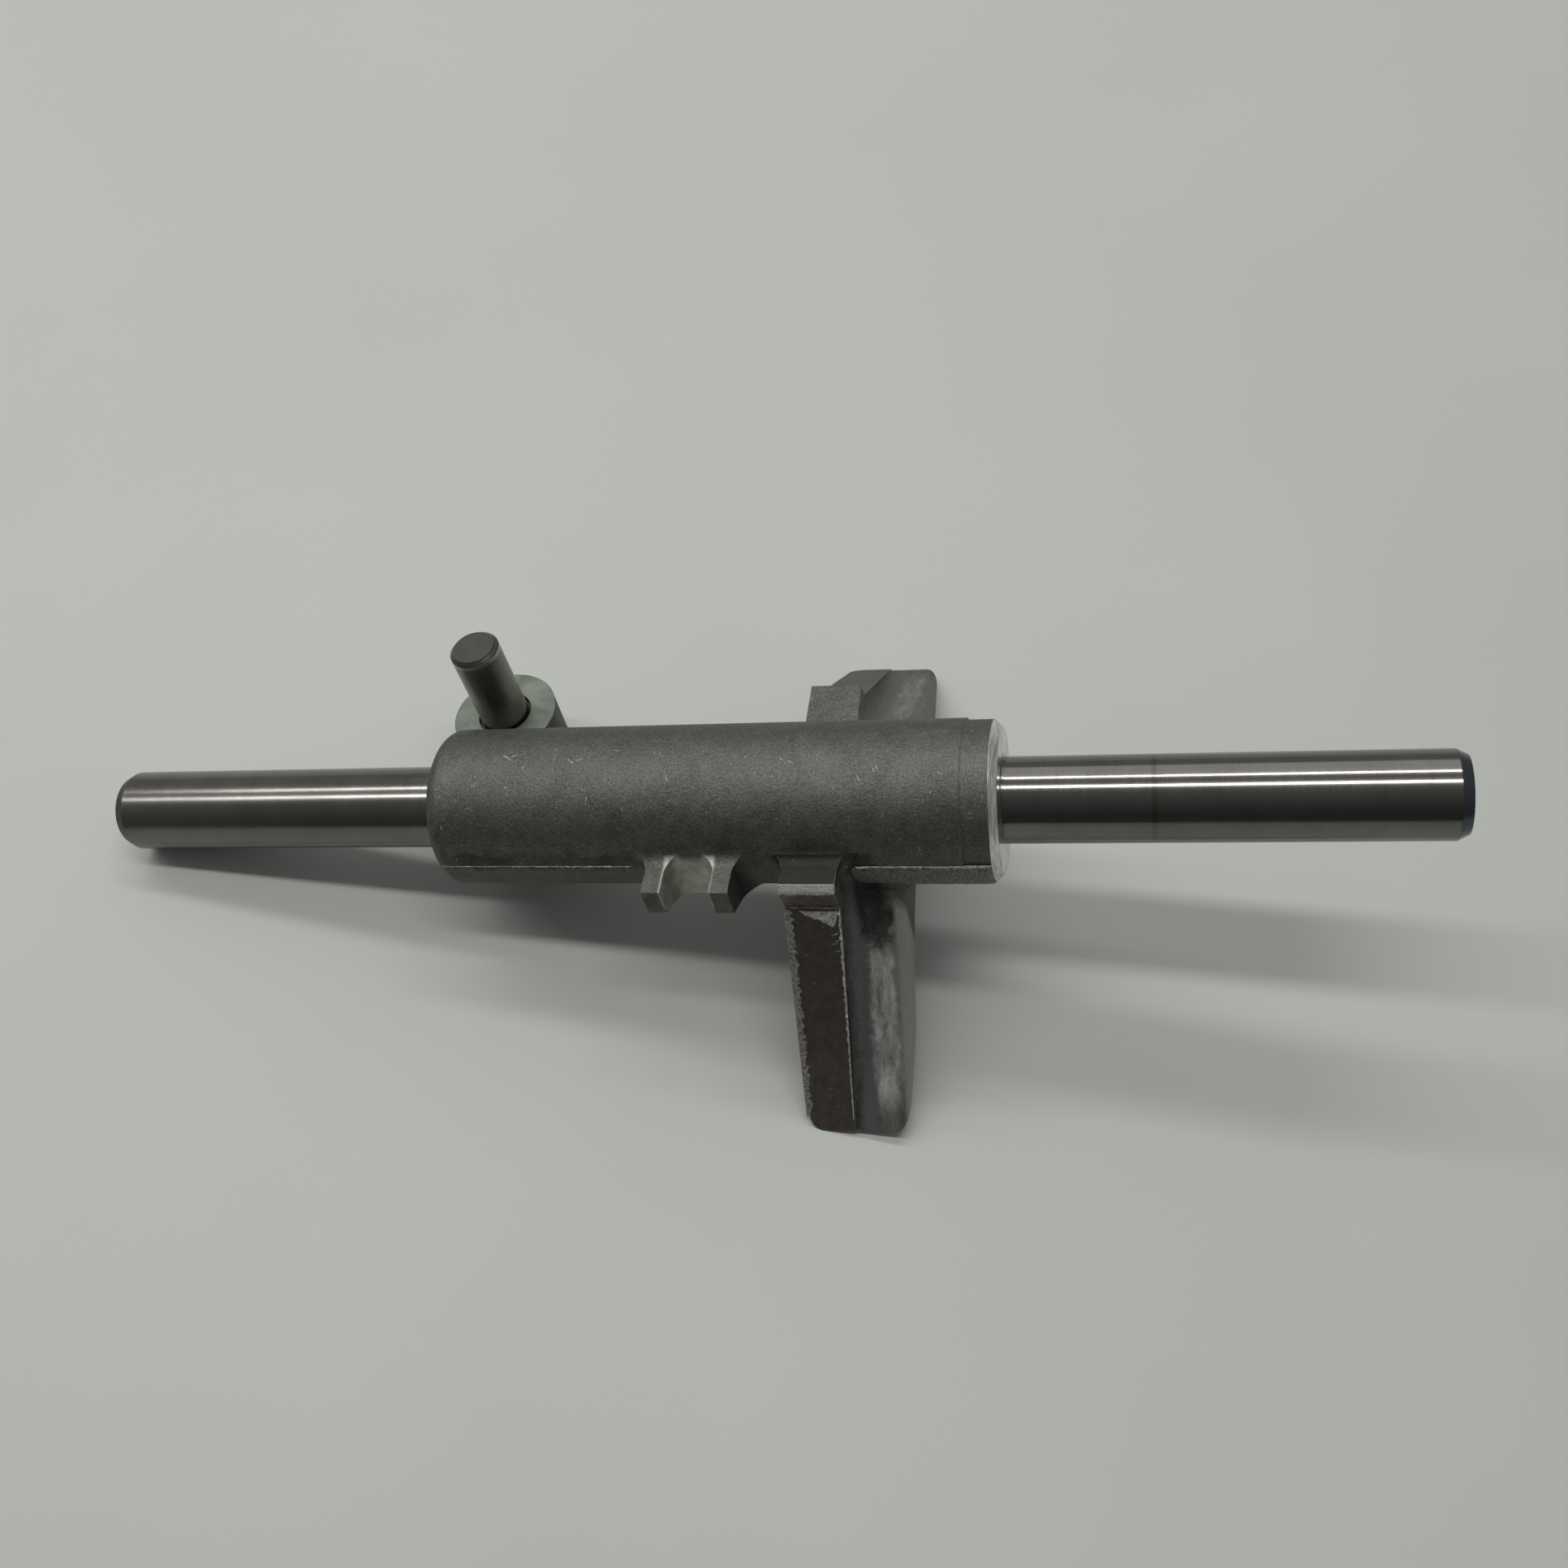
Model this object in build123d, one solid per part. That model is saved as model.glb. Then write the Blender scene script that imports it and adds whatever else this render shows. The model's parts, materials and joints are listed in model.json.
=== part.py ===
from build123d import *
import math
import os

# A gearbox shift fork on its rail, in millimetres. The die-cast fork slides on the
# ground steel rail, and a steel guide pin stands in its lug.
# Everything is first built along the rail: X runs down the rail's axis from its pin
# end, and the jaw opens towards -Z. Stations are distances along X from that end.
# The rib and the lug follow the casting's parting plane, which is turned about the
# rail by pin_lean. At the end the part is set down as it lies on a flat surface.

# rail
rail_diameter = 14.0
rail_length = 227.0
rail_chamfer_length = 1.7
rail_chamfer_depth = 0.85

# sleeve of the casting
sleeve_station = 63.2
sleeve_length = 94.9
sleeve_diameter = 26.6
running_clearance = 0.05
sleeve_end_round = 2.6
sleeve_end_chamfer = 1.25
bore_mouth_chamfer = 0.9
die_step_length = 5.7
die_step_depth = 0.3

# fork: the jaw, its wall under the sleeve, and how far the prong tips reach
jaw_radius = 36.0
jaw_wall = 4.2
tip_drop = 32.4
tip_spread = 91.4
tip_round = 2.4
arm_root_spread = 37.6
arm_root_height = 0.6

# outer rib of the fork, thick at the shoulders and thinner at the tips
rib_setback = 34.1
rib_width = 9.0
rib_draft = 0.2
rib_taper = 2.6
near_shoulder = 19.6
far_shoulder = 23.7
shoulder_height = 2.5
shoulder_land = 1.2
shoulder_land_drop = 0.9
arm_blend = 2.3
jaw_chamfer = 0.8

# web of the fork, set back behind the rib, and the trough that runs along the rib
web_width = 9.3
web_draft = 2.0
web_root_width = 23.2
web_root_drop = 1.6
web_edge_round = 2.4
web_setback = 0.3
trough_radius = 5.0
trough_tip_radius = 0.5

# notched rib for the selector finger
rack_setback = 22.4
tooth_width = 3.2
notch_width = 8.0
notch_floor = 13.0
notch_round = 3.0
tooth_reach = 20.0
tooth_top = 2.5
tooth_bottom = 3.0
rack_foot = 10.0
rack_blend = 2.8

# lug and guide pin
pin_lean = 11.3
lug_setback = 2.9
lug_reach = 22.6
lug_diameter = 19.0
lug_face = 1.0
lug_depth = 11.0
lug_draft = 1.0
gusset_width = 13.0
gusset_foot = 17.5
gusset_top = 3.0
gusset_depth = 7.0
pin_diameter = 8.8
pin_exposed = 17.2
pin_seat = 10.5
pin_chamfer = 0.7
pin_mouth_width = 0.5
pin_mouth_depth = 1.2

rail_radius = rail_diameter / 2
sleeve_radius = sleeve_diameter / 2
sleeve_end = sleeve_station + sleeve_length
bore_radius = rail_radius + running_clearance
half_spread = tip_spread / 2
rib_station = sleeve_end - rib_setback
rib_back = rib_station + rib_width
web_back = rib_back + web_width
jaw_centre = (0, -(sleeve_radius + jaw_wall + jaw_radius))
rack_station = rib_station - rack_setback
rack_length = 2 * tooth_width + notch_width
lug_station = sleeve_station + lug_setback
parting_turn = Rot(X=-pin_lean)

# how far an edge may lie off the sleeve's wall and still count as on it, how far a cut
# runs past what it cuts, and how steep a sloping edge is at least
on_wall = 0.01
overrun = 1.0
steep = 0.3


def round_bar(radius, start, end):
    """A cylinder on the rail's axis between two stations."""
    bar = Cylinder(radius, end - start, align=(Align.CENTER, Align.CENTER, Align.MIN))
    return Pos(start, 0, 0) * Rot(Y=90) * bar


def cross_section(points, start, end):
    """A prism along X with its outline given as (Y, Z) points."""
    outline = make_face(Polyline(*[(0, y, z) for y, z in points], close=True))
    return Pos(start, 0, 0) * extrude(outline, end - start, dir=(1, 0, 0))


def turned(reach, height):
    """A (Y, Z) point given by its reach and height in the parting plane's frame."""
    angle = math.radians(pin_lean)
    return (
        reach * math.cos(angle) + height * math.sin(angle),
        height * math.cos(angle) - reach * math.sin(angle),
    )


def draft_shift(degrees, drop):
    return drop * math.tan(math.radians(degrees))


def rail():
    bar = round_bar(rail_radius, 0, rail_length)
    for end in (0, -1):
        cap = bar.faces().sort_by(Axis.X)[end]
        bar = chamfer(cap.edges(), rail_chamfer_depth, rail_chamfer_length, reference=cap)
    return bar


def sleeve_blank():
    step = sleeve_end - die_step_length
    blank = round_bar(sleeve_radius, sleeve_station, step)
    edges = blank.edges().filter_by(GeomType.CIRCLE).sort_by(Axis.X)
    blank = fillet(edges[0], sleeve_end_round)
    collar = round_bar(sleeve_radius - die_step_depth, step, sleeve_end)
    edges = collar.edges().filter_by(GeomType.CIRCLE).sort_by(Axis.X)
    return blank + chamfer(edges[-1], sleeve_end_chamfer)


def jaw_space():
    """What the jaw leaves free for the ring that it embraces, with its chamfered rims."""
    y, z = jaw_centre
    start = rib_station + draft_shift(rib_draft, tip_drop)
    space = round_bar(jaw_radius, rib_station - rib_width, web_back + rib_width)
    rim = Cone(jaw_radius + rib_width, jaw_radius, rib_width)
    half = rib_width / 2 - jaw_chamfer
    space += Pos(start - half, 0, 0) * Rot(Y=90) * rim
    space += Pos(web_back + half, 0, 0) * Rot(Y=-90) * rim
    return Pos(0, y, z) * space


def arm_line(reach):
    """Height of the prongs' outer line at a distance from the fork's middle plane."""
    root = arm_root_spread / 2
    fall = (arm_root_height + tip_drop) / (half_spread - root)
    return arm_root_height - (abs(reach) - root) * fall


def arm_block():
    """The fork's outer form, before the web is set back behind the rib."""
    near_edge = turned(-near_shoulder, shoulder_height - shoulder_land_drop)
    far_edge = turned(far_shoulder, shoulder_height)
    outline = [
        turned(shoulder_land - near_shoulder, shoulder_height),
        near_edge,
        (near_edge[0], arm_line(near_edge[0])),
        (-half_spread, -tip_drop),
        (half_spread, -tip_drop),
        (far_edge[0], arm_line(far_edge[0])),
        far_edge,
    ]
    return cross_section(outline, rib_station, web_back + web_width)


def hollow_section(share):
    """What lies outside the web and right of the rib, at a share of the prong's run."""
    root = Vector(rib_back, web_root_width / 2, -web_root_drop)
    tip = Vector(rib_back - draft_shift(rib_taper, tip_drop), half_spread - web_setback, -tip_drop)
    corner = root + (tip - root) * share
    radius = trough_radius + (trough_tip_radius - trough_radius) * share
    back = Vector(1, 0, 0)
    out = back.cross(tip - root).normalized()
    high = corner + out * radius
    wide = corner + back * radius
    belly = corner + (out + back) * (radius * (1 - math.sqrt(0.5)))
    far = back * (web_back + web_width - corner.X)
    rim = out * tip_drop
    sides = Polyline(wide, corner + far, corner + far + rim, corner + rim, high)
    return make_face(sides + ThreePointArc(high, belly, wide))


def web_hollow():
    """The space beside the far prong that leaves its web, with a trough along the rib."""
    before = -web_root_width / 2 / (half_spread - web_setback - web_root_width / 2)
    beyond = 1 + web_edge_round / tip_drop
    return loft([hollow_section(before), hollow_section(beyond)], ruled=True)


def rack():
    """The rib with two teeth, seen edge-on as a tapering bar."""
    end = rack_station + rack_length
    foot_height = math.sqrt(sleeve_radius**2 - rack_foot**2)
    outline = [
        (-rail_radius, tooth_top),
        (-tooth_reach, tooth_top),
        (-tooth_reach, -tooth_bottom),
        (-foot_height, -rack_foot),
        (-rail_radius, -rail_radius),
    ]
    return parting_turn * cross_section(outline, rack_station, end)


def notch():
    start = rack_station + tooth_width
    depth = tooth_reach
    cut = Box(
        notch_width, depth, 2 * sleeve_radius, align=(Align.MIN, Align.MAX, Align.CENTER)
    )
    floor_edges = cut.edges().filter_by(Axis.Z).sort_by(Axis.Y)[-2:]
    cut = fillet(floor_edges, notch_round)
    return parting_turn * Pos(start, -notch_floor, 0) * cut


def lug():
    """The round boss that holds the guide pin, and the gusset behind it."""
    boss = extrude(Circle(lug_diameter / 2), -lug_depth, taper=lug_draft)
    boss = Pos(lug_station, lug_reach, -lug_face) * boss
    foot = rail_radius + (sleeve_radius - rail_radius) / 2
    narrow = gusset_width / 2
    foot_start = sleeve_station + sleeve_end_round
    outline = Polyline(
        (foot_start, foot),
        (lug_station - narrow, lug_reach),
        (lug_station + narrow, lug_reach),
        (foot_start + gusset_foot, foot),
        close=True,
    )
    gusset = extrude(make_face(outline), -gusset_depth)
    return parting_turn * (boss + Pos(0, 0, -gusset_top) * gusset)


def pin_hole():
    through = Cylinder(pin_diameter / 2, 2 * (lug_depth + lug_face))
    mouth = Cylinder(
        pin_diameter / 2 + pin_mouth_width,
        2 * pin_mouth_depth,
    )
    mouth = Pos(0, 0, -lug_face) * mouth
    return parting_turn * Pos(lug_station, lug_reach, 0) * (through + mouth)


def guide_pin():
    length = pin_seat + pin_exposed
    pin = Cylinder(
        pin_diameter / 2, length, align=(Align.CENTER, Align.CENTER, Align.MIN)
    )
    pin = chamfer(pin.edges().filter_by(GeomType.CIRCLE), pin_chamfer)
    bottom = -lug_face - pin_seat
    return parting_turn * Pos(lug_station, lug_reach, bottom) * pin


def bore():
    hole = round_bar(bore_radius, sleeve_station - overrun, sleeve_end + overrun)
    mouth = Cone(
        bore_radius + bore_mouth_chamfer,
        bore_radius,
        bore_mouth_chamfer,
        align=(Align.CENTER, Align.CENTER, Align.MIN),
    )
    left = Pos(sleeve_station, 0, 0) * Rot(Y=90) * mouth
    right = Pos(sleeve_end, 0, 0) * Rot(Y=-90) * mouth
    return hole + left + right


def on_sleeve(edge, start, end):
    """Does the edge run on the sleeve's outer wall between two stations?"""
    points = [edge.position_at(share) for share in (0.1, 0.5, 0.9)]
    return all(
        start <= point.X <= end and abs(math.hypot(point.Y, point.Z) - sleeve_radius) < on_wall
        for point in points
    )


def blend(fork, start, end, radius):
    """Round the inner corners that a cast limb makes with the sleeve."""
    return fillet([edge for edge in fork.edges() if on_sleeve(edge, start, end)], radius)


def arms():
    """Rib and web with drafted sides and rounded tips, before the jaw is cut through them."""
    outline = Polyline(
        (rib_station, 0, near_shoulder),
        (rib_station, 0, 0),
        (rib_station + draft_shift(rib_draft, tip_drop), 0, -tip_drop),
        (web_back - draft_shift(web_draft, tip_drop), 0, -tip_drop),
        (web_back + draft_shift(web_draft, near_shoulder), 0, near_shoulder),
        close=True,
    )
    side = make_face(outline)
    hollow = web_hollow()
    both = arm_block() & extrude(side, tip_spread, dir=(0, 1, 0), both=True)
    both = both - hollow - mirror(hollow, about=Plane.XZ)
    back = both.faces().sort_by(Axis.X)[-1]
    sloped = back.edges().filter_by(lambda edge: abs(edge.tangent_at(0.5).Z) > steep)
    both = fillet(sloped, web_edge_round)
    side = fillet(side.vertices().group_by(Axis.Z)[0], tip_round)
    return both & extrude(side, tip_spread, dir=(0, 1, 0), both=True)


def shift_fork():
    fork = sleeve_blank() + rack()
    fork = blend(fork, rack_station - overrun, rack_station + rack_length + overrun, rack_blend)
    fork += arms()
    fork = blend(fork, rib_station - overrun, web_back + overrun, arm_blend)
    fork -= jaw_space()
    fork += lug()
    fork -= notch()
    fork -= pin_hole()
    fork -= bore()
    return fork


def rest_tilt():
    """The rail's slope when its end and the two prong tips touch the ground."""
    draft = math.radians(rib_draft)
    tip_x = rib_station + draft_shift(rib_draft, tip_drop)
    centre_x = tip_x + tip_round * (1 - math.sin(draft)) / math.cos(draft)
    run = centre_x - rail_chamfer_length
    fall = tip_drop - tip_round - rail_radius
    return math.degrees(math.atan2(fall, run) + math.asin(tip_round / math.hypot(run, fall)))


def set_down(pieces):
    """Lay the pieces on the ground, with the origin under the middle of their box."""
    tilted = {name: Rot(Y=-rest_tilt()) * piece for name, piece in pieces.items()}
    box = Compound(list(tilted.values())).bounding_box()
    centre = box.center()
    place = Pos(-centre.X, -centre.Y, -box.min.Z)
    return {name: place * piece for name, piece in tilted.items()}


def main():
    pieces = set_down({"fork_shaft": rail(), "shift_fork": shift_fork(), "guide_pin": guide_pin()})
    os.makedirs("parts", exist_ok=True)
    for name, piece in pieces.items():
        solids = piece.solids()
        print(name, len(solids), "solid", round(piece.volume, 1), "mm3")
        export_step(piece, f"parts/{name}.step")


main()
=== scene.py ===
import json
import math
import random
import bpy
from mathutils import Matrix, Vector


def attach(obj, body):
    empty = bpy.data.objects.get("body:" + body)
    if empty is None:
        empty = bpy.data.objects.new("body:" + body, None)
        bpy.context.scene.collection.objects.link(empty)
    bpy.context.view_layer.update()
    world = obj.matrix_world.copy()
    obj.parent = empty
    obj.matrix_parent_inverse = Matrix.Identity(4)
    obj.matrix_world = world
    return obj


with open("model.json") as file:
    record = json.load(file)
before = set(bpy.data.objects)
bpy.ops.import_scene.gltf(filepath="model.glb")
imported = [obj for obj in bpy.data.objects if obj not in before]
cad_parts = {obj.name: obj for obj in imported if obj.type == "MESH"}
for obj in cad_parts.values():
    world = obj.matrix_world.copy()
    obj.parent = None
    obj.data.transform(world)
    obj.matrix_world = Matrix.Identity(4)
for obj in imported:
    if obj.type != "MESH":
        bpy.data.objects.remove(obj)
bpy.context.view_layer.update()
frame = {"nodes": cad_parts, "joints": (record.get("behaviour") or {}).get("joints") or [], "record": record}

# The floor stands for the plain pale bench top that the part lies on: sealed board
# with a satin lacquer, which keeps soft shadows and shows faint clouds of wiped dust.


def linear(hex_colour):
    """An sRGB hex colour as the linear colour that a shader socket takes."""
    parts = [int(hex_colour[start:start + 2], 16) / 255 for start in (1, 3, 5)]
    return [c / 12.92 if c <= 0.04045 else ((c + 0.055) / 1.055) ** 2.4 for c in parts] + [1.0]


def add_node(tree, kind, inputs=None, **settings):
    """Add one node with its settings; an input is a value, or the node or output that feeds it."""
    node = tree.nodes.new(kind)
    for name, value in settings.items():
        setattr(node, name, value)
    for name, value in (inputs or {}).items():
        if isinstance(value, bpy.types.Node):
            value = next(socket for socket in value.outputs if socket.enabled)
        if isinstance(value, bpy.types.NodeSocket):
            tree.links.new(value, node.inputs[name])
        else:
            node.inputs[name].default_value = value
    return node


def new_material(name):
    """An empty node material, with its tree."""
    material = bpy.data.materials.new(name)
    material.use_nodes = True
    material.node_tree.nodes.clear()
    return material, material.node_tree


floor_half_side = 1.6
dust_cloud = 0.09

floor_material, tree = new_material("lacquered_board")
place = add_node(tree, "ShaderNodeTexCoord").outputs["Object"]
cloud = add_node(tree, "ShaderNodeTexNoise", {
    "Vector": place, "Scale": 1 / dust_cloud, "Detail": 5.0,
})
tint = add_node(tree, "ShaderNodeMix", {
    "Factor": cloud, "A": linear("#B3B5AF"), "B": linear("#BCBEB8"),
}, data_type="RGBA")
surface = add_node(tree, "ShaderNodeBsdfPrincipled", {"Base Color": tint, "Roughness": 0.5})
add_node(tree, "ShaderNodeOutputMaterial", {"Surface": surface})

floor_mesh = bpy.data.meshes.new("floor")
corners = [
    (x * floor_half_side, y * floor_half_side, 0) for x, y in ((-1, -1), (1, -1), (1, 1), (-1, 1))
]
floor_mesh.from_pydata(corners, [], [(0, 1, 2, 3)])
floor_mesh.materials.append(floor_material)
floor = bpy.data.objects.new("floor", floor_mesh)
bpy.context.scene.collection.objects.link(floor)

# The light is that of a plain workshop: two long lamps in line with the rail, one
# overhead and one further back, a broad soft light behind them, and a dim room that
# is darker on the near side. Leans are in degrees, and places and sizes in metres.

lamps = {
    "overhead_tube": {
        "lean": 6, "height": 1.2, "along": -0.5, "length": 1.9, "width": 0.09, "watts": 7.8,
    },
    "rear_tube": {
        "lean": 32, "height": 1.2, "along": -0.5, "length": 1.9, "width": 0.07, "watts": 7.5,
    },
    "rear_soft_light": {
        "lean": 52, "height": 1.4, "along": -0.1, "length": 2.6, "width": 1.2, "watts": 6.5,
    },
}
for lamp_name, lamp in lamps.items():
    light = bpy.data.lights.new(lamp_name, "AREA")
    light.shape = "RECTANGLE"
    light.size = lamp["length"]
    light.size_y = lamp["width"]
    light.energy = lamp["watts"]
    stand = bpy.data.objects.new(lamp_name, light)
    lean = math.radians(lamp["lean"])
    stand.location = (lamp["along"], lamp["height"] * math.tan(lean), lamp["height"])
    stand.rotation_euler = (-lean, 0, 0)
    bpy.context.scene.collection.objects.link(stand)

near_side_light = 0.065
far_side_light = 0.3

world = bpy.data.worlds.new("dim_room")
world.use_nodes = True
tree = world.node_tree
tree.nodes.clear()
direction = add_node(tree, "ShaderNodeSeparateXYZ", {
    "Vector": add_node(tree, "ShaderNodeTexCoord").outputs["Generated"],
})
room = add_node(tree, "ShaderNodeMapRange", {
    "Value": direction.outputs["Y"], "From Min": -0.95, "From Max": 0.1,
    "To Min": near_side_light, "To Max": far_side_light,
})
room_light = add_node(tree, "ShaderNodeBackground", {
    "Color": (0.97, 0.99, 1.0, 1.0), "Strength": room,
})
add_node(tree, "ShaderNodeOutputWorld", {"Surface": room_light})
bpy.context.scene.world = world
bpy.context.scene.view_settings.view_transform = "Standard"

# The camera stands in front of the part and above it, as in the reference picture.

camera = bpy.data.objects.new("camera", bpy.data.cameras.new("camera"))
camera.data.sensor_width = 36
camera.data.lens = 36.121
camera.data.clip_start = 0.01
camera.location = (0.02293, -0.11588, 0.26286)
camera.rotation_euler = [math.radians(angle) for angle in (27.395, 0.846, 5.547)]
bpy.context.scene.collection.objects.link(camera)
bpy.context.scene.camera = camera

# The rail is a carburised steel bar, hardened, chamfered and centreless ground. It is
# glossy, with hair-fine marks that run round it, duller where the pin end has been
# handled, blue-black on its far chamfer, and the fork has rubbed a faint ring on it.

mounts = {mount["name"]: mount for mount in frame["record"]["mounts"]}
rail_start = Vector(mounts["rail_pin_end"]["pos_m"])
rail_axis = -Vector(mounts["rail_pin_end"]["axis"])
rail_slope = math.asin(rail_axis.z)
millimetre = 0.001


def along_rail(mount_name):
    """How far along the rail a mount is from the rail's pin end, in mm."""
    return (Vector(mounts[mount_name]["pos_m"]) - rail_start).dot(rail_axis) / millimetre


def part_coordinates(tree):
    """Place on the part in mm: X along the rail, Y away, Z out of the jaw's back."""
    return add_node(tree, "ShaderNodeMapping", {
        "Vector": add_node(tree, "ShaderNodeTexCoord").outputs["Object"],
        "Location": rail_start,
        "Rotation": (0, -rail_slope, 0),
        "Scale": (millimetre, millimetre, millimetre),
    }, vector_type="TEXTURE")


def zone(tree, value, limits, soft, within=None):
    """1 between two limits, fading over a soft margin, and only within another zone if given."""
    low, high = limits
    rise = add_node(tree, "ShaderNodeMapRange", {
        "Value": value, "From Min": low - soft, "From Max": low + soft,
    })
    fall = add_node(tree, "ShaderNodeMapRange", {
        "Value": value, "From Min": high - soft, "From Max": high + soft,
        "To Min": 1.0, "To Max": 0.0,
    })
    inside = add_node(tree, "ShaderNodeMath", {0: rise, 1: fall}, operation="MULTIPLY")
    if within is None:
        return inside
    return add_node(tree, "ShaderNodeMath", {0: within, 1: inside}, operation="MULTIPLY")


rail_length = along_rail("rail_far_end")
sleeve_end = along_rail("thrust_face")
ring_on_rail = sleeve_end + frame["joints"][0]["range_m"][1] / millimetre
past_the_end = 5
chamfer_length = 1.75
grinding_pitch = 0.3
oil_patch = 7.0

ground_steel, tree = new_material("ground_carburised_steel")
at = part_coordinates(tree)
station = add_node(tree, "ShaderNodeSeparateXYZ", {"Vector": at}).outputs["X"]
# Real grinding marks are about 0.05 mm apart, so they are drawn coarser to show at all.
round_bar = add_node(tree, "ShaderNodeVectorMath", {
    0: at, 1: (1 / grinding_pitch, 0.12, 0.12),
}, operation="MULTIPLY")
marks = add_node(tree, "ShaderNodeTexNoise", {
    "Vector": round_bar, "Scale": 1.0, "Detail": 3.0, "Roughness": 0.7,
})
patches = add_node(tree, "ShaderNodeTexNoise", {
    "Vector": at, "Scale": 1 / oil_patch, "Detail": 4.0, "Distortion": 0.6,
})
streaked = add_node(tree, "ShaderNodeMix", {
    "Factor": 0.4, "A": patches.outputs["Fac"], "B": marks.outputs["Fac"],
})
colour = add_node(tree, "ShaderNodeMix", {
    "Factor": streaked, "A": linear("#63615C"), "B": linear("#898782"),
}, data_type="RGBA")
worn_ring = zone(tree, station, (ring_on_rail - 1.0, ring_on_rail - 0.3), soft=0.25)
far_chamfer = zone(
    tree, station, (rail_length - chamfer_length, rail_length + past_the_end), soft=0.1,
)
near_chamfer = zone(tree, station, (-past_the_end, chamfer_length), soft=0.1)
for share, shade in (
    (worn_ring, "#6A665F"), (far_chamfer, "#535760"), (near_chamfer, "#504E4A"),
):
    colour = add_node(tree, "ShaderNodeMix", {
        "Factor": share, "A": colour, "B": linear(shade),
    }, data_type="RGBA")
handled = add_node(tree, "ShaderNodeMapRange", {
    "Value": station, "From Min": 8.0, "From Max": 90.0, "To Min": 0.09, "To Max": 0.0,
})
gloss = add_node(tree, "ShaderNodeMapRange", {"Value": marks, "To Min": 0.09, "To Max": 0.19})
gloss = add_node(tree, "ShaderNodeMath", {0: gloss, 1: handled}, operation="ADD")
gloss = add_node(tree, "ShaderNodeMix", {"Factor": near_chamfer, "A": gloss, "B": 0.4})
grooves = add_node(tree, "ShaderNodeBump", {
    "Strength": 0.2, "Distance": 0.02 * millimetre, "Height": streaked,
})
surface = add_node(tree, "ShaderNodeBsdfPrincipled", {
    "Base Color": colour, "Metallic": 1.0, "Roughness": gloss, "Normal": grooves,
})
add_node(tree, "ShaderNodeOutputMaterial", {"Surface": surface})
rail = frame["nodes"]["fork_shaft"]
rail.data.materials.clear()
rail.data.materials.append(ground_steel)

# The fork is one pressure die casting in aluminium, left as it came from the die apart
# from its turned end ring, its milled boss face and its bore. The die skin is grey and
# matt with a fine grain, cloudy where the metal chilled, and rubbed bright on its edges.

pin_end = Vector(mounts["guide_pin_end"]["pos_m"])
pin_axis = Vector(mounts["guide_pin_end"]["axis"])
tool_pitch = 0.4


def pin_coordinates(tree):
    """Place round the guide pin in mm: Z along the pin, 0 at its free end."""
    return add_node(tree, "ShaderNodeMapping", {
        "Vector": add_node(tree, "ShaderNodeTexCoord").outputs["Object"],
        "Location": pin_end,
        "Rotation": pin_axis.to_track_quat("Z", "Y").to_euler(),
        "Scale": (millimetre, millimetre, millimetre),
    }, vector_type="TEXTURE")


def radius_from_axis(tree, place, crosswise):
    """The distance from an axis; crosswise is 1 for each direction that crosses it."""
    flat = add_node(tree, "ShaderNodeVectorMath", {0: place, 1: crosswise}, operation="MULTIPLY")
    return add_node(tree, "ShaderNodeVectorMath", {0: flat}, operation="LENGTH").outputs["Value"]


def tool_rings(tree, radius):
    """The wave of rings that a cutting tool leaves round an axis."""
    # The real tool marks are about 0.1 mm apart, so they are drawn coarser.
    wave = add_node(tree, "ShaderNodeMath", {
        0: radius, 1: 2 * math.pi / tool_pitch,
    }, operation="MULTIPLY")
    return add_node(tree, "ShaderNodeMath", {0: wave}, operation="SINE")


skin_grain = 0.34
skin_cloud = 1.8
die_flow = 8.0
near_prong_from = -12.0
low_sleeve_from = -10.0

cast_aluminium, tree = new_material("die_cast_aluminium")
at = part_coordinates(tree)
split = add_node(tree, "ShaderNodeSeparateXYZ", {"Vector": at})
station, across, height = (split.outputs[axis] for axis in "XYZ")
reach = add_node(tree, "ShaderNodeMath", {0: across}, operation="ABSOLUTE")
near_side = add_node(tree, "ShaderNodeMath", {
    0: across, 1: near_prong_from,
}, operation="LESS_THAN")
# The real grain is about 0.2 mm, so it is drawn coarser to show in the render.
grain = add_node(tree, "ShaderNodeTexNoise", {
    "Vector": at, "Scale": 1 / skin_grain, "Detail": 3.0, "Roughness": 0.65,
})
cloud = add_node(tree, "ShaderNodeTexNoise", {
    "Vector": at, "Scale": 1 / skin_cloud, "Detail": 6.0, "Roughness": 0.65, "Distortion": 0.5,
})
flow = add_node(tree, "ShaderNodeTexNoise", {
    "Vector": at, "Scale": 1 / die_flow, "Detail": 5.0, "Roughness": 0.6, "Distortion": 1.0,
})
mottle = add_node(tree, "ShaderNodeMapRange", {"Value": flow, "From Min": 0.3, "From Max": 0.7})
colour = add_node(tree, "ShaderNodeMix", {
    "Factor": mottle, "A": linear("#53544F"), "B": linear("#656761"),
}, data_type="RGBA")
spots = add_node(tree, "ShaderNodeMapRange", {"Value": cloud, "From Min": 0.3, "From Max": 0.75})
pale_spots = add_node(tree, "ShaderNodeMath", {0: spots, 1: 0.55}, operation="MULTIPLY")
colour = add_node(tree, "ShaderNodeMix", {
    "Factor": pale_spots, "A": colour, "B": linear("#73756F"),
}, data_type="RGBA")
sand = add_node(tree, "ShaderNodeMapRange", {
    "Value": grain, "From Min": 0.36, "From Max": 0.64, "To Min": 0.7, "To Max": 1.3,
})
colour = add_node(tree, "ShaderNodeMix", {
    "Factor": 1.0, "A": colour,
    "B": add_node(tree, "ShaderNodeCombineXYZ", {"X": sand, "Y": sand, "Z": sand}),
}, data_type="RGBA", blend_type="MULTIPLY")
gloss = add_node(tree, "ShaderNodeMapRange", {"Value": cloud, "To Min": 0.48, "To Max": 0.7})

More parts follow.
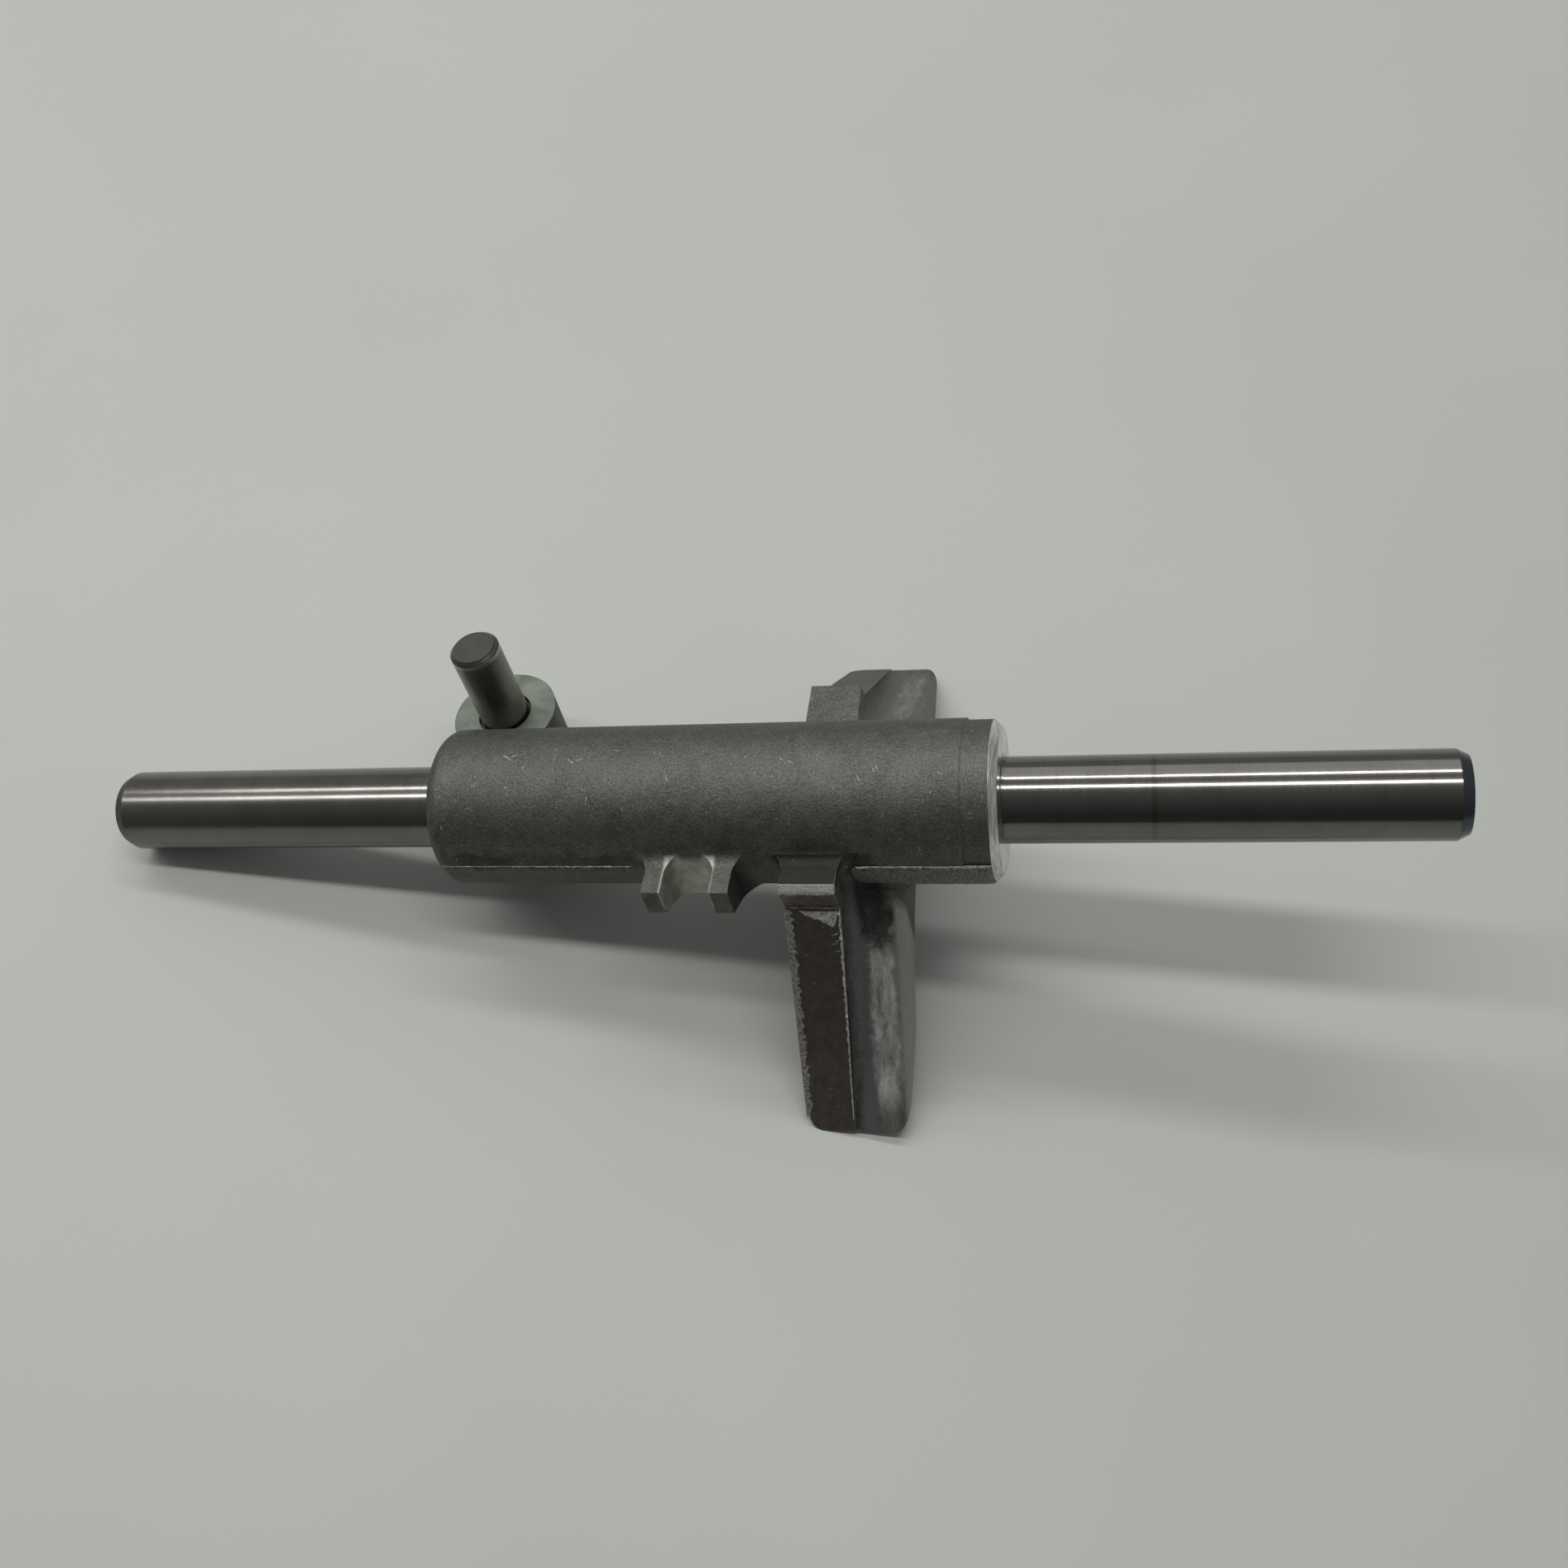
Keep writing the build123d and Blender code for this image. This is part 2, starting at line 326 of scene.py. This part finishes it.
# Dark stains lie along the lower sleeve, where release agent burnt on, with torn outlines.
wander = add_node(tree, "ShaderNodeMath", {
    0: cloud, 1: 5.0, 2: -2.5,
}, operation="MULTIPLY_ADD")
stained_height = add_node(tree, "ShaderNodeMath", {0: height, 1: wander}, operation="ADD")
low_on_sleeve = add_node(tree, "ShaderNodeMath", {
    0: across, 1: low_sleeve_from,
}, operation="LESS_THAN")
stain = add_node(tree, "ShaderNodeMath", {
    0: zone(tree, stained_height, (2.6, 5.6), soft=0.5), 1: low_on_sleeve,
}, operation="MULTIPLY")
stain = zone(tree, station, (66.0, 104.0), soft=3.0, within=stain)
stain = add_node(tree, "ShaderNodeMath", {0: stain, 1: mottle}, operation="MULTIPLY")

# The near rib's outer face is smooth, and its brownish tint is a painted reflection of the dark
# room on the near side. The shoulder over it has a shelf darkened with painted shade, and a pale
# land along its outer edge.
rib_start = 123.7
rib_back = 133.0
past_the_tips = 60.0
shoulder_span = (122.0, 134.2)
shelf_edge = -17.5

on_rib = zone(tree, station, (rib_start - 1.5, rib_back - 0.5), soft=0.2)
on_rib = zone(tree, reach, (18.5, past_the_tips), soft=0.15, within=on_rib)
on_rib = add_node(tree, "ShaderNodeMath", {0: on_rib, 1: near_side}, operation="MULTIPLY")
# Painted reflection: a brownish tint on the near rib's face, standing for the dark room it reflects.
rib_reflection_tint = add_node(tree, "ShaderNodeMix", {
    "Factor": spots, "A": linear("#5D564F"), "B": linear("#746C65"),
}, data_type="RGBA")
# Painted shade: the shelf on the near shoulder is given a near-black colour.
shelf = zone(tree, across, (shelf_edge, -12.2), soft=0.12)
shelf = zone(tree, height, (4.6, 7.6), soft=0.7, within=shelf)
shelf = zone(tree, station, shoulder_span, soft=1.0, within=shelf)
land = zone(tree, across, (-18.95, shelf_edge), soft=0.1)
land = zone(tree, height, (5.1, 6.6), soft=0.1, within=land)
land = zone(tree, station, shoulder_span, soft=0.5, within=land)
land_skin = add_node(tree, "ShaderNodeMix", {
    "Factor": grain, "A": linear("#75776F"), "B": linear("#B4B6AE"),
}, data_type="RGBA")

# The webs' outer faces are cloudy with streaks, and painted light makes them pale, more so
# on the near one.
web_back = 142.3
wall_width = 2.6
web_root = 17.0

side_light_share = add_node(tree, "ShaderNodeMapRange", {
    "Value": near_side, "To Min": 0.3, "To Max": 1.0,
})
wavy_station = add_node(tree, "ShaderNodeMath", {
    0: cloud, 1: 2.4, 2: -1.2,
}, operation="MULTIPLY_ADD")
wavy_station = add_node(tree, "ShaderNodeMath", {0: station, 1: wavy_station}, operation="ADD")
fade_to_tip = add_node(tree, "ShaderNodeMapRange", {
    "Value": height, "From Min": -31.0, "From Max": -27.0, "To Min": 0.25, "To Max": 1.0,
})
lit_web = add_node(tree, "ShaderNodeMath", {
    0: zone(tree, wavy_station, (rib_back + wall_width, web_back - 2.2), soft=0.8), 1: fade_to_tip,
}, operation="MULTIPLY")
lit_web = zone(tree, reach, (web_root, past_the_tips), soft=2.0, within=lit_web)
lit_web = add_node(tree, "ShaderNodeMath", {0: lit_web, 1: side_light_share}, operation="MULTIPLY")
along_web = add_node(tree, "ShaderNodeVectorMath", {
    0: at, 1: (0.6, 0.16, 0.16),
}, operation="MULTIPLY")
web_streaks = add_node(tree, "ShaderNodeTexNoise", {
    "Vector": along_web, "Scale": 1.0, "Detail": 7.0, "Roughness": 0.72, "Distortion": 0.25,
})
web_streaks = add_node(tree, "ShaderNodeMapRange", {
    "Value": web_streaks, "From Min": 0.35, "From Max": 0.68,
})
# Painted light: the web's streaks run from light grey to near white, fading towards the tip.
pale = add_node(tree, "ShaderNodeMix", {
    "Factor": web_streaks, "A": linear("#888A84"), "B": linear("#DFE1DA"),
}, data_type="RGBA")
# Painted shade: the concave wall between the rib and the web gets a bluish grey.
trough_shade = zone(tree, wavy_station, (rib_back + 0.2, rib_back + wall_width), soft=0.6)
trough_shade = zone(tree, reach, (web_root, past_the_tips), soft=1.5, within=trough_shade)
trough_shade = add_node(tree, "ShaderNodeMath", {0: trough_shade, 1: side_light_share}, operation="MULTIPLY")
# Painted shadow: the sleeve's shadow on the near web's root, a dark patch with a ragged outline.
leaning = add_node(tree, "ShaderNodeMath", {
    0: reach, 1: -0.22, 2: 4.2,
}, operation="MULTIPLY_ADD")
leaning = add_node(tree, "ShaderNodeMath", {0: station, 1: leaning}, operation="ADD")
shadow_outline = add_node(tree, "ShaderNodeMath", {
    0: flow, 1: 9.0, 2: -4.5,
}, operation="MULTIPLY_ADD")
leaning = add_node(tree, "ShaderNodeMath", {0: leaning, 1: shadow_outline}, operation="ADD")
shadow_reach = add_node(tree, "ShaderNodeMath", {0: wander, 1: reach}, operation="ADD")
sleeve_shadow = zone(tree, leaning, (135.3, 140.3), soft=0.9)
sleeve_shadow = zone(tree, shadow_reach, (12.0, 21.4), soft=1.3, within=sleeve_shadow)
for share in (near_side, 0.85):
    sleeve_shadow = add_node(tree, "ShaderNodeMath", {0: sleeve_shadow, 1: share}, operation="MULTIPLY")

# The webs' rounded back edges are smoother; painted light makes them paler than the rest of the skin.
lit_back_edge = zone(tree, station, (web_back - 1.9, web_back + 0.8), soft=0.35)
lit_back_edge = zone(tree, reach, (15.5, past_the_tips), soft=0.8, within=lit_back_edge)
lit_back_edge = add_node(tree, "ShaderNodeMath", {
    0: lit_back_edge, 1: side_light_share,
}, operation="MULTIPLY")

# The first notch was dressed with a cutter and is lighter, with a smudge on its floor.
notch_floor = zone(tree, station, (104.6, 112.9), soft=0.3)
notch_floor = zone(tree, across, (-20.0, -12.4), soft=0.2, within=notch_floor)
dressed = add_node(tree, "ShaderNodeMix", {
    "Factor": spots, "A": linear("#9A9B91"), "B": linear("#D2D3C8"),
}, data_type="RGBA")

# The turned ring at the sleeve's end is bright, with rings from the tool.
turned_length = 1.3

on_ring = zone(
    tree, station, (sleeve_end - turned_length, sleeve_end + past_the_end), soft=0.06,
)
ring_lines = tool_rings(tree, radius_from_axis(tree, at, (0.0, 1.0, 1.0)))
round_sleeve = add_node(tree, "ShaderNodeVectorMath", {
    0: at, 1: (3.0, 0.25, 0.25),
}, operation="MULTIPLY")
streaks = add_node(tree, "ShaderNodeTexNoise", {
    "Vector": round_sleeve, "Scale": 1.0, "Detail": 4.0, "Roughness": 0.7,
})
streaks = add_node(tree, "ShaderNodeMapRange", {
    "Value": streaks, "From Min": 0.35, "From Max": 0.65,
})
turned = add_node(tree, "ShaderNodeMix", {
    "Factor": streaks, "A": linear("#AEB0AA"), "B": linear("#F4F6F0"),
}, data_type="RGBA")

# The boss face was milled flat: pale and faintly green, with arcs from the cutter.
pin_exposed = 16.5
boss_radius = 9.5

on_lug = pin_coordinates(tree)
lug_depth = add_node(tree, "ShaderNodeSeparateXYZ", {"Vector": on_lug}).outputs["Z"]
lug_radius = radius_from_axis(tree, on_lug, (1.0, 1.0, 0.0))
on_boss = zone(tree, lug_depth, (-pin_exposed - 0.12, -pin_exposed + 1.2), soft=0.02)
on_boss = zone(tree, lug_radius, (-1.0, boss_radius + 0.1), soft=0.02, within=on_boss)
boss_lines = tool_rings(tree, lug_radius)
milled = add_node(tree, "ShaderNodeMix", {
    "Factor": mottle, "A": linear("#6C7168"), "B": linear("#8C9287"),
}, data_type="RGBA")

# Handling has rubbed the skin bright along its edges and left small bright chips on it.
edge_radius = 0.3
chip = 0.7

rounded = add_node(tree, "ShaderNodeBevel", {"Radius": edge_radius * millimetre}, samples=6)
bend = add_node(tree, "ShaderNodeVectorMath", {
    0: rounded, 1: add_node(tree, "ShaderNodeNewGeometry").outputs["Normal"],
}, operation="DOT_PRODUCT")
rubbed = add_node(tree, "ShaderNodeMapRange", {
    "Value": bend.outputs["Value"],
    "From Min": 0.975, "From Max": 0.86, "To Min": 0.0, "To Max": 0.65,
})
rubbed = add_node(tree, "ShaderNodeMath", {0: rubbed, 1: spots}, operation="MULTIPLY")
stretched = add_node(tree, "ShaderNodeVectorMath", {
    0: at, 1: (1.0, 0.45, 0.7),
}, operation="MULTIPLY")
chips = add_node(tree, "ShaderNodeTexNoise", {
    "Vector": stretched, "Scale": 1 / chip, "Detail": 2.0, "Roughness": 0.5, "Distortion": 1.5,
})
chips = add_node(tree, "ShaderNodeMapRange", {
    "Value": chips, "From Min": 0.7, "From Max": 0.74, "To Min": 0.0, "To Max": 0.6,
})
bright = add_node(tree, "ShaderNodeMath", {0: rubbed, 1: chips}, operation="MAXIMUM")

# Each place's colour and roughness, real finish or painted light and shade, lie over those before it;
# None keeps the skin's own.
finishes_and_light = [
    (stain, linear("#3B3B37"), None),
    (on_rib, rib_reflection_tint, 0.4),
    (shelf, linear("#373734"), None),
    (land, land_skin, None),
    (lit_web, pale, 0.62),
    (trough_shade, linear("#7B7D7C"), None),
    (sleeve_shadow, linear("#30302E"), None),
    (lit_back_edge, linear("#A3A59F"), None),
    (notch_floor, dressed, None),
    (on_ring, turned, 0.24),
    (on_boss, milled, 0.45),
    (bright, linear("#B4B6B0"), None),
]
for share, shade, roughness in finishes_and_light:
    colour = add_node(tree, "ShaderNodeMix", {
        "Factor": share, "A": colour, "B": shade,
    }, data_type="RGBA")
    if roughness is not None:
        gloss = add_node(tree, "ShaderNodeMix", {"Factor": share, "A": gloss, "B": roughness})

relief = add_node(tree, "ShaderNodeMix", {
    "Factor": 0.4, "A": grain.outputs["Fac"], "B": cloud.outputs["Fac"],
})
relief = add_node(tree, "ShaderNodeMix", {"Factor": on_ring, "A": relief, "B": ring_lines})
relief = add_node(tree, "ShaderNodeMix", {"Factor": on_boss, "A": relief, "B": boss_lines})
depth = add_node(tree, "ShaderNodeMath", {0: on_ring, 1: on_boss}, operation="MAXIMUM")
depth = add_node(tree, "ShaderNodeMapRange", {"Value": depth, "To Min": 0.9, "To Max": 0.06})
smooth = add_node(tree, "ShaderNodeMapRange", {"Value": on_rib, "To Min": 1.0, "To Max": 0.35})
depth = add_node(tree, "ShaderNodeMath", {0: depth, 1: smooth}, operation="MULTIPLY")
skin = add_node(tree, "ShaderNodeBump", {
    "Strength": depth, "Distance": 0.15 * millimetre, "Height": relief, "Normal": rounded,
})
surface = add_node(tree, "ShaderNodeBsdfPrincipled", {
    "Base Color": colour, "Metallic": 1.0, "Roughness": gloss, "Normal": skin,
})
add_node(tree, "ShaderNodeOutputMaterial", {"Surface": surface})
fork = frame["nodes"]["shift_fork"]
fork.data.materials.clear()
fork.data.materials.append(cast_aluminium)

# The die's two halves left thin flash where they met. It was broken off by hand, so a
# torn, bright line of raw metal is left along the sleeve and down the near rib.

part_up = rail_axis.cross(Vector((0, 1, 0)))


def on_part(point):
    """The place in the frame of a point given in mm along, across and out of the part."""
    along, across, up = point
    return rail_start + millimetre * (along * rail_axis + Vector((0, across, 0)) + up * part_up)


def turned_to_part(direction):
    """A direction on the part as a direction in the frame."""
    return (on_part(direction) - on_part((0, 0, 0))).normalized()


def torn_strips(name, strips, material, seed, step=0.4, sunk=0.12):
    """Ragged raised strips: each follows its path, spreads aside and stands out of the skin.

    Sizes are in mm. Width and height go from a strip's start to its end, and tear is the
    largest share that a random tear takes off them.
    """
    blunt_end, taper_steps, far_edge_rise = 0.3, 2, 0.6
    draws = random.Random(seed)
    points, faces = [], []
    for strip in strips:
        path = [on_part(point) for point in strip["path"]]
        aside = turned_to_part(strip["aside"])
        out = turned_to_part(strip["out"])
        foot = out * sunk * millimetre
        lengths = [(b - a).length for a, b in zip(path, path[1:])]
        places = []
        for number, length in enumerate(lengths):
            count = max(1, round(length / (step * millimetre)))
            for index in range(count):
                share = (sum(lengths[:number]) + length * index / count) / sum(lengths)
                places.append((path[number].lerp(path[number + 1], index / count), share))
        places.append((path[-1], 1.0))
        first = len(points)
        for index, (place, share) in enumerate(places):
            from_end = min(index, len(places) - 1 - index)
            taper = min(1.0, (from_end + blunt_end) / taper_steps)
            width, rise = (
                (start + (end - start) * share) * (1 - strip["tear"] * draws.random()) * taper
                for start, end in (strip["width"], strip["height"])
            )
            far = place + aside * width * millimetre
            points += [
                place - foot, far - foot,
                far + out * rise * far_edge_rise * millimetre, place + out * rise * millimetre,
            ]
        shell = []
        for ring in range(first, len(points) - 4, 4):
            for corner in range(4):
                following = (corner + 1) % 4
                shell.append((
                    ring + corner, ring + following, ring + 4 + following, ring + 4 + corner,
                ))
        last = len(points) - 4
        shell += [(first + 3, first + 2, first + 1, first), (last, last + 1, last + 2, last + 3)]
        inside_out = aside.cross(path[-1] - path[0]).dot(out) > 0
        faces += [face[::-1] if inside_out else face for face in shell]
    mesh = bpy.data.meshes.new(name)
    mesh.from_pydata(points, [], faces)
    mesh.materials.append(material)
    piece = bpy.data.objects.new(name, mesh)
    bpy.context.scene.collection.objects.link(piece)
    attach(piece, "fork")


raw_metal_spot = 0.6

torn_metal, tree = new_material("torn_raw_aluminium")
at = part_coordinates(tree)
glint = add_node(tree, "ShaderNodeTexNoise", {
    "Vector": at, "Scale": 1 / raw_metal_spot, "Detail": 5.0, "Roughness": 0.75,
})
glint = add_node(tree, "ShaderNodeMapRange", {"Value": glint, "From Min": 0.35, "From Max": 0.68})
colour = add_node(tree, "ShaderNodeMix", {
    "Factor": glint, "A": linear("#7C7D78"), "B": linear("#E4E6DF"),
}, data_type="RGBA")
roughened = add_node(tree, "ShaderNodeBump", {
    "Strength": 0.6, "Distance": 0.15 * millimetre, "Height": glint,
})
surface = add_node(tree, "ShaderNodeBsdfPrincipled", {
    "Base Color": colour, "Metallic": 1.0, "Roughness": 0.5, "Normal": roughened,
})
add_node(tree, "ShaderNodeOutputMaterial", {"Surface": surface})

sleeve_out = (0, -0.97, 0.24)
sleeve_down = (0, -0.24, -0.97)
rib_out = (0, -0.7751, 0.6318)
rib_down = (0, -0.6318, -0.7751)
pinwards = (-1, 0, 0)
torn_strips("sleeve_flash", [
    {
        "path": [(64.9, -12.9, 3.22), (98.5, -12.9, 3.2)],
        "aside": sleeve_down, "out": sleeve_out,
        "width": (0.3, 0.45), "height": (0.1, 0.28), "tear": 0.8,
    },
    {
        "path": [(135.2, -13.02, 2.75), (137.0, -12.98, 2.9), (156.8, -12.98, 2.9)],
        "aside": sleeve_down, "out": sleeve_out,
        "width": (0.4, 0.5), "height": (0.4, 0.35), "tear": 0.6,
    },
], torn_metal, seed=3)
torn_strips("rib_flash", [
    {
        "path": [
            (133.0, -18.9, 0.5), (132.9, -22.0, -3.3), (132.45, -32.0, -15.5),
            (131.75, -44.2, -30.5),
        ],
        "aside": pinwards, "out": rib_out,
        "width": (0.55, 0.35), "height": (0.42, 0.2), "tear": 0.6,
    },
    {
        "path": [(132.8, -25.3, -7.4), (132.5, -26.1, -8.4)],
        "aside": pinwards, "out": rib_out,
        "width": (0.7, 0.6), "height": (0.5, 0.4), "tear": 0.3,
    },
], torn_metal, seed=5)

# Trimming the shoulder and the rib left torn lips and scraped metal: a ragged edge under
# the shoulder's land, a scraped patch below it, a few cuts, and a rough left edge.

knife_tear = 0.5

trimmed_skin, tree = new_material("trimmed_cast_aluminium")
at = part_coordinates(tree)
tears = add_node(tree, "ShaderNodeTexNoise", {
    "Vector": at, "Scale": 1 / knife_tear, "Detail": 5.0, "Roughness": 0.7,
})
tears = add_node(tree, "ShaderNodeMapRange", {"Value": tears, "From Min": 0.35, "From Max": 0.66})
colour = add_node(tree, "ShaderNodeMix", {
    "Factor": tears, "A": linear("#62635E"), "B": linear("#A9AAA4"),
}, data_type="RGBA")
roughened = add_node(tree, "ShaderNodeBump", {
    "Strength": 0.8, "Distance": 0.2 * millimetre, "Height": tears,
})
surface = add_node(tree, "ShaderNodeBsdfPrincipled", {
    "Base Color": colour, "Metallic": 1.0, "Roughness": 0.6, "Normal": roughened,
})
add_node(tree, "ShaderNodeOutputMaterial", {"Surface": surface})

torn_strips("shoulder_lip", [
    {
        "path": [(123.9, -18.85, 5.45), (133.0, -18.85, 5.45)],
        "aside": (0, -0.15, -1), "out": (0, -1, 0),
        "width": (0.7, 0.7), "height": (0.16, 0.16), "tear": 0.75,
    },
    {
        "path": [(124.2, -18.9, 0.75), (132.9, -18.9, 0.6)],
        "aside": (0, -0.4, -0.9), "out": (0, -0.93, 0.37),
        "width": (0.5, 0.6), "height": (0.2, 0.25), "tear": 0.8,
    },
], trimmed_skin, seed=7)
torn_strips("rib_torn_edge", [
    {
        "path": [(123.75, -19.1, 0.25), (123.75, -30.4, -13.65), (123.6, -44.0, -30.3)],
        "aside": (1, 0, 0), "out": rib_out,
        "width": (1.6, 1.4), "height": (0.1, 0.1), "tear": 0.5,
    },
], trimmed_skin, seed=9)
torn_strips("scraped_patch", [
    {
        "path": [(126.2, -19.35, -0.05), (132.5, -19.35, -0.05)],
        "aside": rib_down, "out": rib_out,
        "width": (0.3, 3.4), "height": (0.12, 0.14), "tear": 0.18,
    },
], torn_metal, seed=11)
cut_starts = [
    (131.0, -22.1, -3.45), (131.4, -22.8, -4.3), (130.7, -23.2, -4.8), (131.2, -24.0, -5.8),
]
torn_strips("rib_cuts", [
    {
        "path": [(along, across, up), (along + 1.5, across + 0.35, up + 0.43)],
        "aside": rib_down, "out": rib_out,
        "width": (0.12, 0.3), "height": (0.06, 0.12), "tear": 0.4,
    }
    for along, across, up in cut_starts
], torn_metal, seed=13)

# Knocks in handling raised small burrs of bright raw metal on the sleeve and two on the
# near web. Each on the sleeve has its place, the way it points in degrees, and its length.

knocks_on_sleeve = [
    ((71.4, -6.3, 11.72), 20, 1.6), ((76.6, 2.9, 12.97), 35, 2.4),
    ((78.0, 2.2, 13.1), -30, 1.4), ((88.3, 1.75, 13.18), 40, 1.8),
    ((89.8, 1.4, 13.22), -15, 1.2), ((105.5, -1.6, 13.2), 70, 1.3),
    ((112.4, -7.2, 11.18), 10, 1.0), ((125.5, -8.5, 10.22), 50, 0.9),
    ((129.4, -2.0, 13.15), -40, 1.1), ((136.6, -2.1, 13.13), 60, 1.5),
    ((148.9, -1.65, 13.2), 30, 1.2), ((66.6, -8.6, 10.14), 75, 1.1),
    ((96.0, 3.4, 12.86), 15, 1.0), ((118.0, 1.0, 13.26), -60, 0.9),
]
knocks_on_web = [(138.7, -38.1, -25.7), (139.2, -29.3, -17.75)]
web_knock_length = 0.55
lengthwise = Vector((1, 0, 0))

knock_strips = []
for place, turn, length in knocks_on_sleeve:
    start = Vector(place)
    out = Vector((0, start.y, start.z)).normalized()
    heading = (
        math.cos(math.radians(turn)) * lengthwise
        + math.sin(math.radians(turn)) * lengthwise.cross(out)
    )
    knock_strips.append({
        "path": [start, start + heading * length],
        "aside": heading.cross(out), "out": out,
        "width": (0.22, 0.14), "height": (0.1, 0.07), "tear": 0.5,
    })
for place in knocks_on_web:
    start = Vector(place)
    knock_strips.append({
        "path": [start, start + lengthwise * web_knock_length],
        "aside": (0, -0.74, -0.67), "out": (0, -0.67, 0.74),
        "width": (0.25, 0.2), "height": (0.12, 0.1), "tear": 0.3,
    })
torn_strips("knock_burrs", knock_strips, torn_metal, seed=17, step=0.3, sunk=0.08)

# Below the flash beside the near shoulder the casting was trimmed with a knife, which
# left a rough band of slanting marks that stands a little proud. It is a closed shell,
# with its rim and back buried in the sleeve.

sleeve_radius = 13.3
band_start, band_end = 134.2, 156.7
band_top_angle, band_foot_angle = 12.0, -24.0
column_width = 0.25
rows = 12
columns = round((band_end - band_start) / column_width)
knife_pitch = 0.9
knife_slant = 0.315
knife_wobble = 1.7
band_proud = 0.2
mark_proud = 0.13
ragged_proud = 0.08
rim_sunk = 0.06
back_sunk = 0.3


def on_sleeve(station, angle, radius):
    """The place in the frame of a point round the sleeve; the angle rises from the near side."""
    return on_part((station, -radius * math.cos(angle), radius * math.sin(angle)))


draws = random.Random(19)
points, backs, faces = [], [], []
for column in range(columns + 1):
    station = band_start + (band_end - band_start) * column / columns
    for row in range(rows + 1):
        angle = math.radians(band_top_angle + (band_foot_angle - band_top_angle) * row / rows)
        along_mark = 2 * math.pi * (station + knife_slant * row) / knife_pitch
        mark = 0.5 + 0.5 * math.sin(along_mark + knife_wobble * math.sin(station * 1.3))
        from_rim = min(1.0, row / 1.5, (rows - row) / 3, column / 3, (columns - column) / 3)
        proud = from_rim * (band_proud + mark_proud * mark + ragged_proud * draws.random())
        points.append(on_sleeve(station, angle, sleeve_radius + proud - rim_sunk))
        backs.append(on_sleeve(station, angle, sleeve_radius - back_sunk))
for column in range(columns):
    for row in range(rows):
        corner = column * (rows + 1) + row
        front = (corner, corner + 1, corner + rows + 2, corner + rows + 1)
        faces += [front, [len(points) + index for index in reversed(front)]]
rim = [row for row in range(rows)] + [column * (rows + 1) + rows for column in range(columns)]
rim += [len(points) - 1 - index for index in rim]
faces += [
    (following, corner, corner + len(points), following + len(points))
    for corner, following in zip(rim, rim[1:] + rim[:1])
]
band_mesh = bpy.data.meshes.new("trimmed_band")
band_mesh.from_pydata(points + backs, [], faces)
band_mesh.materials.append(trimmed_skin)
band = bpy.data.objects.new("trimmed_band", band_mesh)
bpy.context.scene.collection.objects.link(band)
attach(band, "fork")

# The guide pin is a hardened dowel, turned on its end face and pressed into the lug. It
# is darker than the rail, tarnished, with rings on its end, and a painted highlight on its chamfer.

tarnish_patch = 2.0

pin_steel, tree = new_material("hardened_dowel_steel")
on_pin = pin_coordinates(tree)
depth = add_node(tree, "ShaderNodeSeparateXYZ", {"Vector": on_pin}).outputs["Z"]
on_end = zone(tree, depth, (-0.05, 3.0), soft=0.02)
# Painted highlight: the chamfer round the pin's end is given a bright colour.
chamfer_highlight = zone(tree, depth, (-0.75, -0.05), soft=0.03)
tarnish = add_node(tree, "ShaderNodeTexNoise", {
    "Vector": on_pin, "Scale": 1 / tarnish_patch, "Detail": 4.0,
})
colour = add_node(tree, "ShaderNodeMix", {
    "Factor": tarnish, "A": linear("#6C6962"), "B": linear("#86837C"),
}, data_type="RGBA")
for share, shade in ((on_end, "#5C5B55"), (chamfer_highlight, "#A5A39C")):
    colour = add_node(tree, "ShaderNodeMix", {
        "Factor": share, "A": colour, "B": linear(shade),
    }, data_type="RGBA")
round_pin = add_node(tree, "ShaderNodeVectorMath", {
    0: on_pin, 1: (0.15, 0.15, 1 / grinding_pitch),
}, operation="MULTIPLY")
marks = add_node(tree, "ShaderNodeTexNoise", {
    "Vector": round_pin, "Scale": 1.0, "Detail": 3.0, "Roughness": 0.7,
})
rings = tool_rings(tree, radius_from_axis(tree, on_pin, (1.0, 1.0, 0.0)))
relief = add_node(tree, "ShaderNodeMix", {
    "Factor": on_end, "A": marks.outputs["Fac"], "B": rings,
})
grooves = add_node(tree, "ShaderNodeBump", {
    "Strength": 0.25, "Distance": 0.03 * millimetre, "Height": relief,
})
gloss = add_node(tree, "ShaderNodeMapRange", {"Value": marks, "To Min": 0.26, "To Max": 0.42})
surface = add_node(tree, "ShaderNodeBsdfPrincipled", {
    "Base Color": colour, "Metallic": 1.0, "Roughness": gloss, "Normal": grooves,
})
add_node(tree, "ShaderNodeOutputMaterial", {"Surface": surface})
pin = frame["nodes"]["guide_pin"]
pin.data.materials.clear()
pin.data.materials.append(pin_steel)
